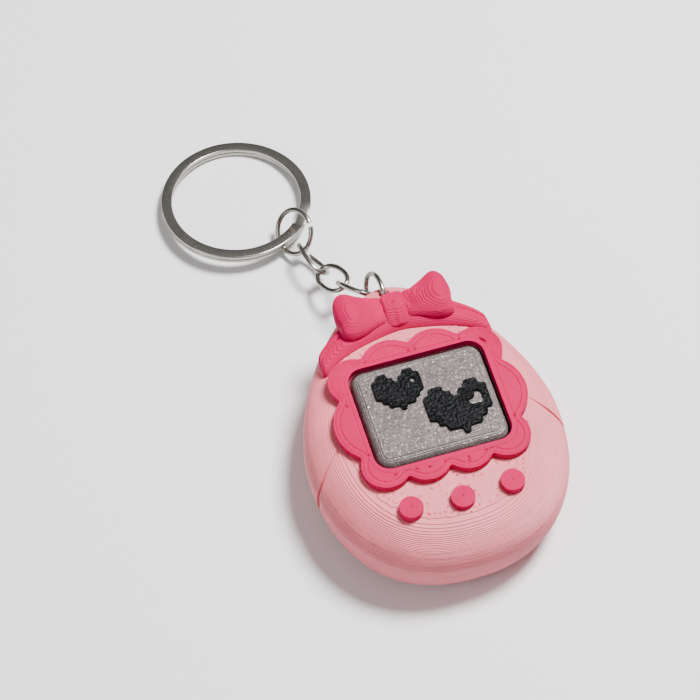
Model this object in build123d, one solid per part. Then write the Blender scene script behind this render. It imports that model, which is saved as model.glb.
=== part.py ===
from build123d import *
import os
from math import cos, pi, sin

# Printed egg-shaped clicker keychain. Millimetres, +Z up. It lies on its flat back, face up.
# The origin is on the back face, at the widest section. +Y points to the narrow end with the
# key ring, and +X to the right of somebody who reads the screen.

# ---- case: egg with a flat face and a flat back ---------------------------------------------
CASE_WIDTH = 49.0
CASE_NARROW = 34.0      # from the widest section to the narrow end
CASE_BROAD = 27.2       # from the widest section to the broad end
CASE_HEIGHT = 18.8      # back to face, 94 layers of 0.2
BULGE_Z = 10.6          # height of the widest girth
NARROW_POWER = 1.634    # superellipse exponents of the plan outline
BROAD_POWER = 2.30
FACE_INSET = 8.9        # how far the outline shrinks from the girth to the face
BACK_INSET = 6.3
PROFILE_POWER = 2.16
OUTLINE_POINTS = 36
LEVELS = (0.0, 0.45, 0.7, 0.86, 0.95, 1.0)

GROOVE_START = (17.0, 1.1)      # where the side groove leaves the frame
GROOVE_ANGLE = 42.6             # plan angle below the X axis
GROOVE_WIDTH = 0.7
GROOVE_DEPTH = 0.8
GROOVE_REACH = 12.0             # long enough to leave the widest girth
GROOVE_BOTTOM = 0.6

# ---- screen frame, screen and hearts --------------------------------------------------------
WINDOW_WIDTH = 26.4
WINDOW_LENGTH = 21.8
WINDOW_Y = 3.05
WINDOW_RADIUS = 3.0
FRAME_HEIGHT = 1.6
# Right-hand cusps of the scalloped rim, and the outermost point of the lobe after each one
FRAME_CUSPS = ((0.0, 16.7), (9.45, 15.8), (15.6, 8.4), (15.25, -4.2), (8.05, -10.0), (0.0, -10.0))
FRAME_LOBES = ((4.7, 18.5), (15.2, 15.4), (18.5, 2.0), (14.4, -10.6), (4.1, -12.1))

SCREEN_GAP = 0.55
SCREEN_TOP = 20.6
SCREEN_SHOULDER = 1.9
SCREEN_WALL = 1.6
SCREEN_SKIN = 1.2
BOSS_DIAMETER = 5.5

HEART_HEIGHT = 0.6
HEART_OUTLINE = (
    ".##...##.",
    "####.####",
    "#########",
    "#########",
    "#########",
    ".#######.",
    "..#####..",
    "....#....",
)
SMALL_HEART = {"cell": 1.02, "left": -9.2, "top": 11.1, "holes": ((2, 7),)}
LARGE_HEART = {"cell": 1.345, "left": -1.0, "top": 5.7, "holes": ((2, 7), (3, 7), (3, 6))}

# ---- buttons ---------------------------------------------------------------------------------
BUTTON_DIAMETER = 4.5
BUTTON_HEIGHT = 1.4
BUTTON_SEAT = 0.6
BUTTONS = {"button_left": (-9.7, -16.3), "button_centre": (0.0, -16.9), "button_right": (9.7, -16.3)}

# ---- key switch, standard 14 mm cut-out --------------------------------------------------------
PLATE_TOP = 9.2
PLATE_THICKNESS = 1.5
CUTOUT = 14.0
POCKET_MARGIN = 1.2     # room round the housing under the plate
POCKET_FLOOR = 0.8
HOUSING_FLANGE = 15.6
HOUSING_ABOVE = 6.6
HOUSING_BELOW = 5.0
HOUSING_WALL = 1.2
PIN_LENGTH = 3.3
TRAVEL = 3.6
STEM_CROSS = 4.0
STEM_ARM = 1.2
STEM_RISE = 3.6
SLIDER_SIZE = (6.6, 5.6)
SPRING_RADIUS = 2.0
SPRING_WIRE = 0.35
SPRING_TURNS = 7
CONTACTS = {"switch_fixed_contact": (4.3, 2.0), "switch_moving_contact": (-4.3, 2.6)}   # X, width
CONTACT_OFFSET = 2.2
CONTACT_SHEET = 0.4
CONTACT_HEIGHT = 4.8

# ---- headband and bow --------------------------------------------------------------------------
BAND_PROUD = 2.0
BAND_INNER = ((0.0, 20.6), (5.0, 19.9), (9.0, 18.9), (13.0, 17.5), (15.4, 15.9), (16.8, 14.7))
BAND_OUTER = ((0.0, 26.4), (5.0, 26.0), (10.0, 24.8), (13.6, 22.9), (15.8, 21.2), (16.9, 19.4))
BAND_BOTTOM = 13.0
# Sections of a bow loop: distance from the middle, centre Y, half length, top Z
LOOP_SECTIONS = (
    (1.2, 24.3, 2.4, 21.4),
    (3.6, 24.5, 2.9, 22.0),
    (6.4, 24.8, 4.2, 23.2),
    (8.6, 24.9, 4.9, 23.3),
    (10.4, 24.9, 4.6, 22.2),
    (11.3, 24.9, 3.2, 20.6),
)
LOOP_CENTRE_Z = 18.2
KNOT_WIDTH = 4.1
KNOT_LENGTH = 6.2
KNOT_Y = 24.3
KNOT_TOP = 22.2

# ---- chain ---------------------------------------------------------------------------------------
WIRE = 1.0
SLACK = 0.06            # gap left between two wires that touch
EYE_RING_RADIUS = 4.4   # to the middle of the wire
EYE_RING_CENTRE = Vector(-1.35, 32.2, 13.7)
EYE_RING_AXIS = Vector(0.975, 0.063, -0.215)
EYE_TUNNEL = 2.3        # bore of the curved tunnel in the tip of the case
# Points where one piece of the chain pulls on the next, from the case outwards
HOOKS = (
    Vector(-1.88, 34.80, 10.78),
    Vector(-5.70, 39.82, 7.96),
    Vector(-7.95, 45.68, 5.21),
    Vector(-10.14, 52.59, 4.17),
)
LINK_WIDTH = 4.9        # between the middles of the two strands
# Face directions of the three oval links
LINK_AXES = (Vector(0.50, 0.76, 0.49), Vector(-0.37, 0.21, 0.90), Vector(0.78, 0.33, 0.53))
JUMP_RING_RADIUS = 4.4
JUMP_RING_AXIS = Vector(-0.76, -0.25, 0.62)
JUMP_RING_PULL = Vector(-0.14, 1.01, 0.24)
JUMP_RING_GAP = 12      # degrees

SPLIT_RING_OUTER = 15.0
SPLIT_RING_BAND = 2.1
SPLIT_RING_LAYER = 0.9
SPLIT_RING_CENTRE = Vector(-19.32, 68.20, 2.48)
SPLIT_RING_AXIS = Vector(0.030, 0.100, 0.9945)


def egg_outline(inset, z):
    """Plan outline of the egg, shrunk by inset, as a closed wire at height z."""
    points = []
    for i in range(OUTLINE_POINTS):
        t = 2 * pi * i / OUTLINE_POINTS
        up = sin(t) > 0
        power = NARROW_POWER if up else BROAD_POWER
        length = (CASE_NARROW if up else CASE_BROAD) - inset
        c, s = cos(t), sin(t)
        x = (CASE_WIDTH / 2 - inset) * abs(c) ** (2 / power) * (1 if c > 0 else -1)
        y = length * abs(s) ** (2 / power) * (1 if s > 0 else -1)
        points.append(Vector(x, y, z))
    return Wire([Edge.make_spline(points, periodic=True)])


def inset_at(level, depth):
    """Inset of the egg's outline at a level from 0, the girth, to 1, the flat."""
    return depth * (1 - (1 - level ** PROFILE_POWER) ** (1 / PROFILE_POWER))


def egg(grow=0.0):
    """The egg as a solid, with its whole surface moved out by grow."""
    wires = []
    for level in reversed(LEVELS):
        z = BULGE_Z * (1 - level) - grow * level
        wires.append(egg_outline(inset_at(level, BACK_INSET) - grow * (1 - level ** 4), z))
    for level in LEVELS[1:]:
        z = BULGE_Z + (CASE_HEIGHT - BULGE_Z) * level + grow * level
        wires.append(egg_outline(inset_at(level, FACE_INSET) - grow * (1 - level ** 4), z))
    return Solid.make_loft(wires)


def prism(sketch, low, high):
    """A plan sketch made into a solid between two heights."""
    return extrude(Plane.XY.offset(low) * sketch, amount=high - low)


def window(grow=0.0):
    radius = WINDOW_RADIUS + grow
    shape = RectangleRounded(WINDOW_WIDTH + 2 * grow, WINDOW_LENGTH + 2 * grow, radius)
    return Pos(0, WINDOW_Y) * shape


def mirrored(points):
    """Points given for +X, joined with their mirror images, from left to right."""
    left = [(-x, y) for x, y in points if x > 0]
    return left[::-1] + list(points)


def torus(centre, axis, radius, wire):
    return Plane(origin=centre, z_dir=axis) * Torus(radius, wire / 2)


def oval_link(start, finish, face):
    """Closed oval link that reaches one wire radius past two hooks."""
    along = (finish - start).normalized()
    face = (face - along * face.dot(along)).normalized()
    straight = (finish - start).length + WIRE + 2 * SLACK - LINK_WIDTH
    plane = Plane(origin=(start + finish) * 0.5, x_dir=along, z_dir=face)
    half, radius = straight / 2, LINK_WIDTH / 2
    path = Wire([
        Edge.make_line((-half, radius, 0), (half, radius, 0)),
        Edge.make_three_point_arc((half, radius, 0), (half + radius, 0, 0), (half, -radius, 0)),
        Edge.make_line((half, -radius, 0), (-half, -radius, 0)),
        Edge.make_three_point_arc((-half, -radius, 0), (-half - radius, 0, 0), (-half, radius, 0)),
    ])
    section = Plane(origin=(0, radius, 0), z_dir=(1, 0, 0)) * Circle(WIRE / 2)
    return plane * sweep(section, path)


def make_case():
    body = egg()
    body -= prism(window(), PLATE_TOP, CASE_HEIGHT + 1)
    cutout = Pos(0, WINDOW_Y) * Rectangle(CUTOUT, CUTOUT)
    body -= prism(cutout, PLATE_TOP - PLATE_THICKNESS, PLATE_TOP + 1)
    pocket = Pos(0, WINDOW_Y) * Rectangle(CUTOUT + POCKET_MARGIN, CUTOUT + POCKET_MARGIN)
    body -= prism(pocket, POCKET_FLOOR, PLATE_TOP - PLATE_THICKNESS)
    for x, y in BUTTONS.values():
        seat = Pos(x, y) * Circle(BUTTON_DIAMETER / 2)
        body -= prism(seat, CASE_HEIGHT - BUTTON_SEAT, CASE_HEIGHT + 1)
    body -= torus(EYE_RING_CENTRE, EYE_RING_AXIS, EYE_RING_RADIUS, EYE_TUNNEL)
    skin = egg(0.3) - egg(-GROOVE_DEPTH)
    blade = Pos(GROOVE_REACH / 2, 0) * Rectangle(GROOVE_REACH, GROOVE_WIDTH)
    blade = Pos(*GROOVE_START) * Rot(0, 0, -GROOVE_ANGLE) * blade
    groove = prism(blade, GROOVE_BOTTOM, CASE_HEIGHT + 1) & skin
    return body - groove - groove.mirror(Plane.YZ)


def make_frame():
    edges = []
    for cusp, lobe, after in zip(FRAME_CUSPS, FRAME_LOBES, FRAME_CUSPS[1:]):
        for side in (1, -1):
            ends = [(side * x, y, 0) for x, y in (cusp, lobe, after)]
            edges.append(Edge.make_three_point_arc(*ends))
    rim = make_face(edges)
    return prism(rim - window(), CASE_HEIGHT, CASE_HEIGHT + FRAME_HEIGHT)


def make_screen():
    width, length = WINDOW_WIDTH - 2 * SCREEN_GAP, WINDOW_LENGTH - 2 * SCREEN_GAP
    bottom = PLATE_TOP + TRAVEL + 0.4
    outside = Pos(0, WINDOW_Y) * RectangleRounded(width, length, WINDOW_RADIUS - 0.4)
    cap = prism(outside, bottom, SCREEN_TOP)
    cap = fillet(cap.faces().sort_by(Axis.Z)[-1].edges(), SCREEN_SHOULDER)
    inside = RectangleRounded(width - 2 * SCREEN_WALL, length - 2 * SCREEN_WALL, 1.2)
    cap -= prism(Pos(0, WINDOW_Y) * inside, bottom - 1, SCREEN_TOP - SCREEN_SKIN)
    boss = Pos(0, WINDOW_Y) * (Circle(BOSS_DIAMETER / 2) - cross(0.0))
    cap += prism(boss, PLATE_TOP + HOUSING_ABOVE - 0.2, SCREEN_TOP - SCREEN_SKIN)
    return cap


def cross(grow):
    """Plan of the cross that carries the key cap."""
    arm, reach = STEM_ARM + grow, STEM_CROSS + grow
    return Rectangle(reach, arm) + Rectangle(arm, reach)


def make_heart(cell, left, top, holes):
    cells = []
    for row, line in enumerate(HEART_OUTLINE):
        for column, mark in enumerate(line):
            if mark == "#" and (row, column) not in holes:
                place = Pos(left + (column + 0.5) * cell, top - (row + 0.5) * cell)
                cells.append(place * Rectangle(cell, cell))
    plan = Sketch() + cells
    return prism(plan, SCREEN_TOP, SCREEN_TOP + HEART_HEIGHT)


def make_button(x, y):
    low = CASE_HEIGHT - BUTTON_SEAT
    knob = prism(Pos(x, y) * Circle(BUTTON_DIAMETER / 2), low, CASE_HEIGHT + BUTTON_HEIGHT)
    return fillet(knob.edges().sort_by(Axis.Z)[-1], 0.25)


def make_switch():
    """The six pieces of the key switch, by name."""
    low, top = PLATE_TOP - HOUSING_BELOW, PLATE_TOP + HOUSING_ABOVE
    at = Pos(0, WINDOW_Y)
    square = at * Rectangle(CUTOUT - 0.1, CUTOUT - 0.1)
    hollow = at * Rectangle(CUTOUT - 2 * HOUSING_WALL, CUTOUT - 2 * HOUSING_WALL)
    lower = prism(square, low, PLATE_TOP) - prism(hollow, low + HOUSING_WALL, PLATE_TOP + 1)
    lower += prism(at * Circle(2.0), low - PIN_LENGTH, low)
    post_top = low + HOUSING_WALL + 2.6
    lower += prism(at * Circle(1.3), low, post_top)

    rim = at * RectangleRounded(HOUSING_FLANGE, HOUSING_FLANGE, 0.8)
    flange = prism(rim, PLATE_TOP, PLATE_TOP + 1.0)
    shoulder = Plane.XY.offset(PLATE_TOP + 1.0) * at * Rectangle(CUTOUT, CUTOUT)
    roof = Plane.XY.offset(top) * at * Rectangle(10.6, 9.6)
    upper = flange + loft([shoulder, roof])
    upper -= prism(at * Rectangle(9.2, 8.0), PLATE_TOP - 1, top - 1.0)
    upper -= prism(at * Rectangle(7.2, 6.2), top - 2, top + 1)

    body_top = top - 0.4
    body_low = low + HOUSING_WALL + TRAVEL + 0.3
    stem = prism(at * Rectangle(*SLIDER_SIZE), body_low, body_top)
    stem -= prism(at * Circle(SPRING_RADIUS + SPRING_WIRE + 0.15), body_low - 1, body_top - 1.5)
    stem += prism(at * cross(0.0), body_top, top + STEM_RISE)

    spring_low, spring_top = low + HOUSING_WALL + SPRING_WIRE, body_top - 1.5 - SPRING_WIRE
    height = spring_top - spring_low
    coil = Edge.make_helix(height / SPRING_TURNS, height, SPRING_RADIUS)
    section = Plane(origin=coil @ 0, z_dir=coil % 0) * Circle(SPRING_WIRE / 2)
    spring = Pos(0, WINDOW_Y, spring_low) * sweep(section, coil, is_frenet=True)

    pieces = {
        "switch_lower_housing": lower,
        "switch_upper_housing": upper,
        "switch_stem": stem,
        "switch_spring": spring,
    }
    for name, (x, width) in CONTACTS.items():
        place = Pos(x, WINDOW_Y - CONTACT_OFFSET)
        contact = prism(place * Rectangle(CONTACT_SHEET, width), low, low + CONTACT_HEIGHT)
        contact += prism(place * Rectangle(CONTACT_SHEET, 1.0), low - PIN_LENGTH, low)
        pieces["switch_lower_housing"] -= contact
        pieces[name] = contact
    return pieces


def make_band(case_shape):
    """Hair band that arches over the face and ends on the slopes beside it."""
    inner, outer = mirrored(BAND_INNER), mirrored(BAND_OUTER)
    plan = make_face([
        Edge.make_spline([Vector(x, y) for x, y in inner]),
        Edge.make_spline([Vector(x, y) for x, y in outer]),
        Edge.make_line(inner[0], outer[0]),
        Edge.make_line(inner[-1], outer[-1]),
    ])
    return (prism(plan, BAND_BOTTOM, CASE_HEIGHT + 4) & egg(BAND_PROUD)) - case_shape


def make_loop(side):
    """One padded loop of the bow."""
    wires = []
    for x, y, half, top in LOOP_SECTIONS:
        plane = Plane(origin=(side * x, y, LOOP_CENTRE_Z), x_dir=(0, 1, 0), z_dir=(1, 0, 0))
        wires.append((plane * Ellipse(half, top - LOOP_CENTRE_Z)).wire())
    return Solid.make_loft(wires)


def make_knot():
    plan = Pos(0, KNOT_Y) * RectangleRounded(KNOT_WIDTH, KNOT_LENGTH, 0.6)
    knot = prism(plan, CASE_HEIGHT - 4, KNOT_TOP)
    return fillet(knot.edges().group_by(Axis.Z)[-1], 0.9)


def make_jump_ring():
    """Open ring of round wire with a sawn gap."""
    centre = HOOKS[-1] + JUMP_RING_PULL.normalized() * (JUMP_RING_RADIUS - WIRE / 2 - SLACK)
    axis = JUMP_RING_AXIS.normalized()
    whole = torus(centre, axis, JUMP_RING_RADIUS, WIRE)
    toward = (Vector(1, 0, 0) - axis * axis.X).normalized()
    gap = JUMP_RING_RADIUS * 2 * pi * JUMP_RING_GAP / 360
    cutter = Plane(origin=centre + toward * JUMP_RING_RADIUS, x_dir=toward, z_dir=axis)
    return whole - cutter * Box(3, gap, 3)


def make_split_ring():
    """Two flat turns of wire, one on the other, closed to a single ring."""
    plane = Plane(origin=SPLIT_RING_CENTRE, z_dir=SPLIT_RING_AXIS)
    inner = SPLIT_RING_OUTER - SPLIT_RING_BAND
    turn = Circle(SPLIT_RING_OUTER) - Circle(inner)
    ring = prism(turn, -SPLIT_RING_LAYER, 0) + prism(turn, 0, SPLIT_RING_LAYER)
    return plane * ring


os.makedirs("parts", exist_ok=True)

case = make_case()
frame = make_frame()
band = make_band(egg())
knot = make_knot() - egg() - band
nodes = {
    "case": case,
    "screen_frame": frame,
    "headband": band,
    "bow_knot": knot,
    "screen_cap": make_screen(),
    "heart_small": make_heart(**SMALL_HEART),
    "heart_large": make_heart(**LARGE_HEART),
}
for name, side in (("bow_loop_left", -1), ("bow_loop_right", 1)):
    nodes[name] = make_loop(side) - egg() - band - make_knot()
for name, place in BUTTONS.items():
    nodes[name] = make_button(*place)
nodes.update(make_switch())

nodes["eye_ring"] = torus(EYE_RING_CENTRE, EYE_RING_AXIS, EYE_RING_RADIUS, WIRE)
for i, face in enumerate(LINK_AXES):
    nodes[f"chain_link_{i + 1}"] = oval_link(HOOKS[i], HOOKS[i + 1], face)
nodes["jump_ring"] = make_jump_ring()
nodes["split_ring"] = make_split_ring()

for name, shape in nodes.items():
    export_step(shape, f"parts/{name}.step")
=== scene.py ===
import math

import bpy
import numpy as np
from mathutils import Matrix, Vector
from mathutils.geometry import delaunay_2d_cdt


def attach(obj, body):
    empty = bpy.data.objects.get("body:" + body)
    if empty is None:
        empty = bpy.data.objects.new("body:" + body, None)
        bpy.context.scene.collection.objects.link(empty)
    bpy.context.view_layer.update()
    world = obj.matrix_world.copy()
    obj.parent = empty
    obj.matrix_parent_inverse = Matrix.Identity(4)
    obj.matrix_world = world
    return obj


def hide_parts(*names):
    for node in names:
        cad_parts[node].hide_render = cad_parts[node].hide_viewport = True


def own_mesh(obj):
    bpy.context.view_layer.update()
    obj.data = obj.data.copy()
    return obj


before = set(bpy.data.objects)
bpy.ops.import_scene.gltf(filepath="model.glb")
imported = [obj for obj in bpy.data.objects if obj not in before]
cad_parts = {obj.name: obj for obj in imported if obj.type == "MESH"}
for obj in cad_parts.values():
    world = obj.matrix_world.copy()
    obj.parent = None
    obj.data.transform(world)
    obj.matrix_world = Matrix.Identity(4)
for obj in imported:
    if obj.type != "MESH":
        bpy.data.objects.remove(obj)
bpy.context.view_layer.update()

# Looks of a printed clicker keychain. Shape values are in millimetres, as in the CAD source, and
# every mesh is scaled to metres when it is made.
MM = 0.001
LAYER = 0.2
LINE = 0.42
RNG = np.random.default_rng(7)

# ---- camera ------------------------------------------------------------------------------------
CAMERA_PLACE = (-88.245, -236.256, 470.824)
CAMERA_AZIMUTH = math.radians(-16.94)
CAMERA_ELEVATION = math.radians(59.42)
CAMERA_ROLL = math.radians(-0.06)
CAMERA_LENS = 144.0


def make_camera():
    sin_a, cos_a = math.sin(CAMERA_AZIMUTH), math.cos(CAMERA_AZIMUTH)
    sin_e, cos_e = math.sin(CAMERA_ELEVATION), math.cos(CAMERA_ELEVATION)
    back = Vector((sin_a * cos_e, -cos_a * cos_e, sin_e))
    right = Vector((cos_a, sin_a, 0))
    up = back.cross(right)
    c, s = math.cos(CAMERA_ROLL), math.sin(CAMERA_ROLL)
    r2, u2 = right * c + up * s, up * c - right * s
    data = bpy.data.cameras.new("camera")
    data.lens = CAMERA_LENS
    data.sensor_width = 36.0
    data.clip_start, data.clip_end = 0.01, 10
    obj = bpy.data.objects.new("camera", data)
    turn = Matrix((r2, u2, back)).transposed().to_4x4()
    obj.matrix_world = Matrix.Translation(Vector(CAMERA_PLACE) * MM) @ turn
    bpy.context.scene.collection.objects.link(obj)
    bpy.context.scene.camera = obj


make_camera()


# ---- noise -------------------------------------------------------------------------------------
def wobble(p, scale, seed=0):
    """Smooth pseudo-random value from about -1 to 1 for points (n, 2) or (n, 3)."""
    rng = np.random.default_rng(seed)
    p = np.asarray(p, float)
    total = np.zeros(p.shape[:-1])
    for _ in range(6):
        k = rng.normal(size=p.shape[-1]) * 2.2 / scale
        total += np.sin(p @ k + rng.uniform(0, 6.28))
    return total / 2.6


# ---- mesh making -------------------------------------------------------------------------------
class Mesh:
    """Vertices and faces gathered before they become an object."""

    def __init__(self):
        self.points = []
        self.faces = []
        self.count = 0

    def add(self, points):
        points = np.asarray(points, float).reshape(-1, 3)
        self.points.append(points)
        first = self.count
        self.count += len(points)
        return first

    def rings(self, rings, closed=False, flip=False):
        """Quads between successive closed rings of equal length. Gives the index of each ring."""
        rings = np.asarray(rings, float)
        count, n = rings.shape[:2]
        first = self.add(rings)
        index = first + np.arange(count * n).reshape(count, n)
        low, high = (index, np.roll(index, -1, 0)) if closed else (index[:-1], index[1:])
        quads = np.stack([low, np.roll(low, -1, 1), np.roll(high, -1, 1), high], -1).reshape(-1, 4)
        self.faces += (quads[:, ::-1] if flip else quads).tolist()
        return index

    def strip(self, low, high):
        """Quads between two closed loops of vertex indices."""
        quads = np.stack([low, np.roll(low, -1), np.roll(high, -1), high], -1)
        self.faces += quads.tolist()

    def fill(self, loops, inner, height, up=True):
        """Triangles over a flat outline with holes: loops of known vertices, and inner points."""
        plan = [self.at(i)[:2] for loop in loops for i in loop]
        known = np.concatenate([np.asarray(loop) for loop in loops])
        edges, start = [], 0
        for loop in loops:
            n = len(loop)
            edges += [(start + i, start + (i + 1) % n) for i in range(n)]
            start += n
        plan = np.array(plan)
        inner = np.asarray(inner, float).reshape(-1, 2)
        extra = self.add(np.column_stack([inner, height(inner)])) if len(inner) else 0
        vectors = [Vector(p) for p in np.concatenate([plan, inner])]
        out = delaunay_2d_cdt(vectors, edges, [], 2, 1e-7)
        index = np.concatenate([known, extra + np.arange(len(inner), dtype=int)])
        origin = np.array([row[0] if len(row) else -1 for row in out[3]])
        faces = np.array([list(face) for face in out[2] if len(face) == 3])
        middle = np.array([list(v) for v in out[0]])[faces].mean(1)
        keep = (origin[faces] >= 0).all(1)
        start = 0
        for k, loop in enumerate(loops):
            hit = inside(middle, plan[start:start + len(loop)])
            keep &= hit if k == 0 else ~hit
            start += len(loop)
        ids = index[origin[faces[keep]]]
        self.faces += (ids if up else ids[:, ::-1]).tolist()

    def loop(self, plan, z):
        """Adds plan points at one height, and gives their indices."""
        return self.add(at_height(plan, z)) + np.arange(len(plan))

    def fan(self, ring, centre, flip=False):
        """Triangles between a closed ring of vertex indices and one middle point."""
        middle = self.add([centre])
        a, b = (np.roll(ring, -1), ring) if flip else (ring, np.roll(ring, -1))
        self.faces += [[int(i), int(j), middle] for i, j in zip(a, b)]

    def lid(self, ring, flip=False):
        """One polygon over a ring of vertex indices."""
        self.faces.append([int(i) for i in (ring[::-1] if flip else ring)])

    def at(self, i):
        if not hasattr(self, "_flat") or len(self._flat) != self.count:
            self._flat = np.concatenate(self.points)
        return self._flat[i]

    def build(self, name, material, body, nodes=(), sharp=50):
        mesh = bpy.data.meshes.new(name)
        points = np.concatenate(self.points) * MM
        mesh.from_pydata(points.tolist(), [], self.faces)
        mesh.update()
        return place(name + "_piece", mesh, material, body, nodes, sharp)


def place(name, mesh, material, body, nodes=(), sharp=50):
    obj = bpy.data.objects.new(name, mesh)
    bpy.context.scene.collection.objects.link(obj)
    mesh.materials.clear()
    mesh.materials.append(material)
    mesh.polygons.foreach_set("use_smooth", [True] * len(mesh.polygons))
    mesh.set_sharp_from_angle(angle=math.radians(sharp))
    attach(obj, body)
    if nodes:
        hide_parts(*nodes)
    return obj


def at_height(plan, z):
    """Plan points lifted to one height."""
    return np.column_stack([plan, np.full(len(plan), z)])


def resample(points, spacing=None, count=None):
    """Closed polyline with evenly spaced points."""
    p = np.asarray(points, float)
    closed = np.vstack([p, p[:1]])
    steps = np.linalg.norm(np.diff(closed, axis=0), axis=1)
    run = np.concatenate([[0], np.cumsum(steps)])
    n = count or int(round(run[-1] / spacing))
    t = np.linspace(0, run[-1], n, endpoint=False)
    return np.column_stack([np.interp(t, run, closed[:, k]) for k in range(p.shape[1])])


def soften(points, times):
    """Closed polyline smoothed by repeated averaging."""
    p = np.asarray(points, float)
    for _ in range(times):
        p = (np.roll(p, 1, 0) + 2 * p + np.roll(p, -1, 0)) / 4
    return p


def outward(points):
    """Unit normals of a closed counter-clockwise plan polyline."""
    t = np.roll(points, -1, 0) - np.roll(points, 1, 0)
    n = np.column_stack([t[:, 1], -t[:, 0]])
    return n / np.linalg.norm(n, axis=1, keepdims=True)


def distance(points, loop):
    """Distance of plan points from a closed polyline's vertices."""
    best = np.full(len(points), 1e9)
    for start in range(0, len(loop), 64):
        part = loop[start:start + 64]
        d = np.linalg.norm(points[:, None, :] - part[None], axis=2).min(1)
        best = np.minimum(best, d)
    return best


def inside(points, loop):
    """Which plan points lie inside a closed polyline."""
    x, y = points[:, 0], points[:, 1]
    hit = np.zeros(len(points), bool)
    ax, ay = loop[:, 0], loop[:, 1]
    bx, by = np.roll(ax, -1), np.roll(ay, -1)
    for x0, y0, x1, y1 in zip(ax, ay, bx, by):
        if y0 == y1:
            continue
        crossing = (y0 > y) != (y1 > y)
        hit ^= crossing & (x < (x1 - x0) * (y - y0) / (y1 - y0) + x0)
    return hit


def scatter(loops, spacing, margin, holes=()):
    """Points of a slightly shaken hexagonal grid inside an outline and outside its holes."""
    lo, hi = loops.min(0), loops.max(0)
    xs = np.arange(lo[0], hi[0], spacing)
    ys = np.arange(lo[1], hi[1], spacing * 0.87)
    grid = np.array([(x + (k % 2) * spacing / 2, y) for k, y in enumerate(ys) for x in xs])
    grid += RNG.normal(0, spacing * 0.05, grid.shape)
    grid = grid[inside(grid, loops)]
    grid = grid[distance(grid, resample(loops, 0.1)) > margin]
    for hole in holes:
        grid = grid[~inside(grid, hole)]
        grid = grid[distance(grid, resample(hole, 0.1)) > margin]
    return grid


def wall(outline, low, high, bead=0.03, inset=None, shake=0.0, seed=1):
    """Rings of a printed wall between two heights: one bulging bead for each layer."""
    count = int(round((high - low) / LAYER))
    normal = outward(outline)
    rings = []
    for k in range(count):
        z = low + k * LAYER
        pull = inset(k) if inset else 0.0
        for share, dz in ((1.0, 0.015), (0.0, 0.1), (1.0, 0.185)):
            noise = shake * wobble(at_height(outline, z * 6), 1.6, seed)
            ring = outline + normal * (noise - (pull + bead * share))[:, None]
            rings.append(at_height(ring, z + dz))
    return rings


def perimeter_lines(d, lines, depth=0.045, width=LINE):
    """Height of a top surface at distance d from its outline: rounded beads with valleys."""
    f = d / width
    bead = -depth * np.abs(np.cos(np.pi * f)) ** 6
    return np.where(d < lines * width, bead, 0.0)


def raster_lines(p, angle, depth=0.025, width=LINE):
    c, s = math.cos(angle), math.sin(angle)
    f = (p[:, 0] * c + p[:, 1] * s) / width
    return -depth * np.abs(np.cos(np.pi * f)) ** 6


def rounded_rect(width, length, radius, centre=(0, 0), corner=12):
    points = []
    hx, hy = width / 2 - radius, length / 2 - radius
    for qx, qy, start in ((1, 1, 0), (-1, 1, 90), (-1, -1, 180), (1, -1, 270)):
        for i in range(corner + 1):
            a = math.radians(start + 90 * i / corner)
            points.append((qx * hx + radius * math.cos(a), qy * hy + radius * math.sin(a)))
    return np.array(points) + np.array(centre)


def tube(path, radius, closed=True, sides=20):
    """Rings of a round wire along a path of points."""
    p = np.asarray(path, float)
    if closed:
        t = np.roll(p, -1, 0) - np.roll(p, 1, 0)
    else:
        t = np.gradient(p, axis=0)
    t /= np.linalg.norm(t, axis=1, keepdims=True)
    side = np.cross(t[0], [0.3, 0.2, 0.9])
    side /= np.linalg.norm(side)
    sides_list = []
    for k in range(len(p)):
        side = side - t[k] * (side @ t[k])
        side /= np.linalg.norm(side)
        sides_list.append(side)
    u = np.array(sides_list)
    v = np.cross(t, u)
    if closed:  # spread the mismatch of the last frame over the whole loop
        start, end = u[0], u[-1] - t[0] * (u[-1] @ t[0])
        twist = math.atan2(np.cross(end, start) @ t[0], end @ start)
        a = np.linspace(0, twist, len(p), endpoint=False)[:, None]
        u, v = u * np.cos(a) + v * np.sin(a), v * np.cos(a) - u * np.sin(a)
    angle = np.linspace(0, 2 * math.pi, sides, endpoint=False)
    ring = np.cos(angle)[None, :, None] * u[:, None] + np.sin(angle)[None, :, None] * v[:, None]
    return p[:, None] + ring * radius


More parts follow.
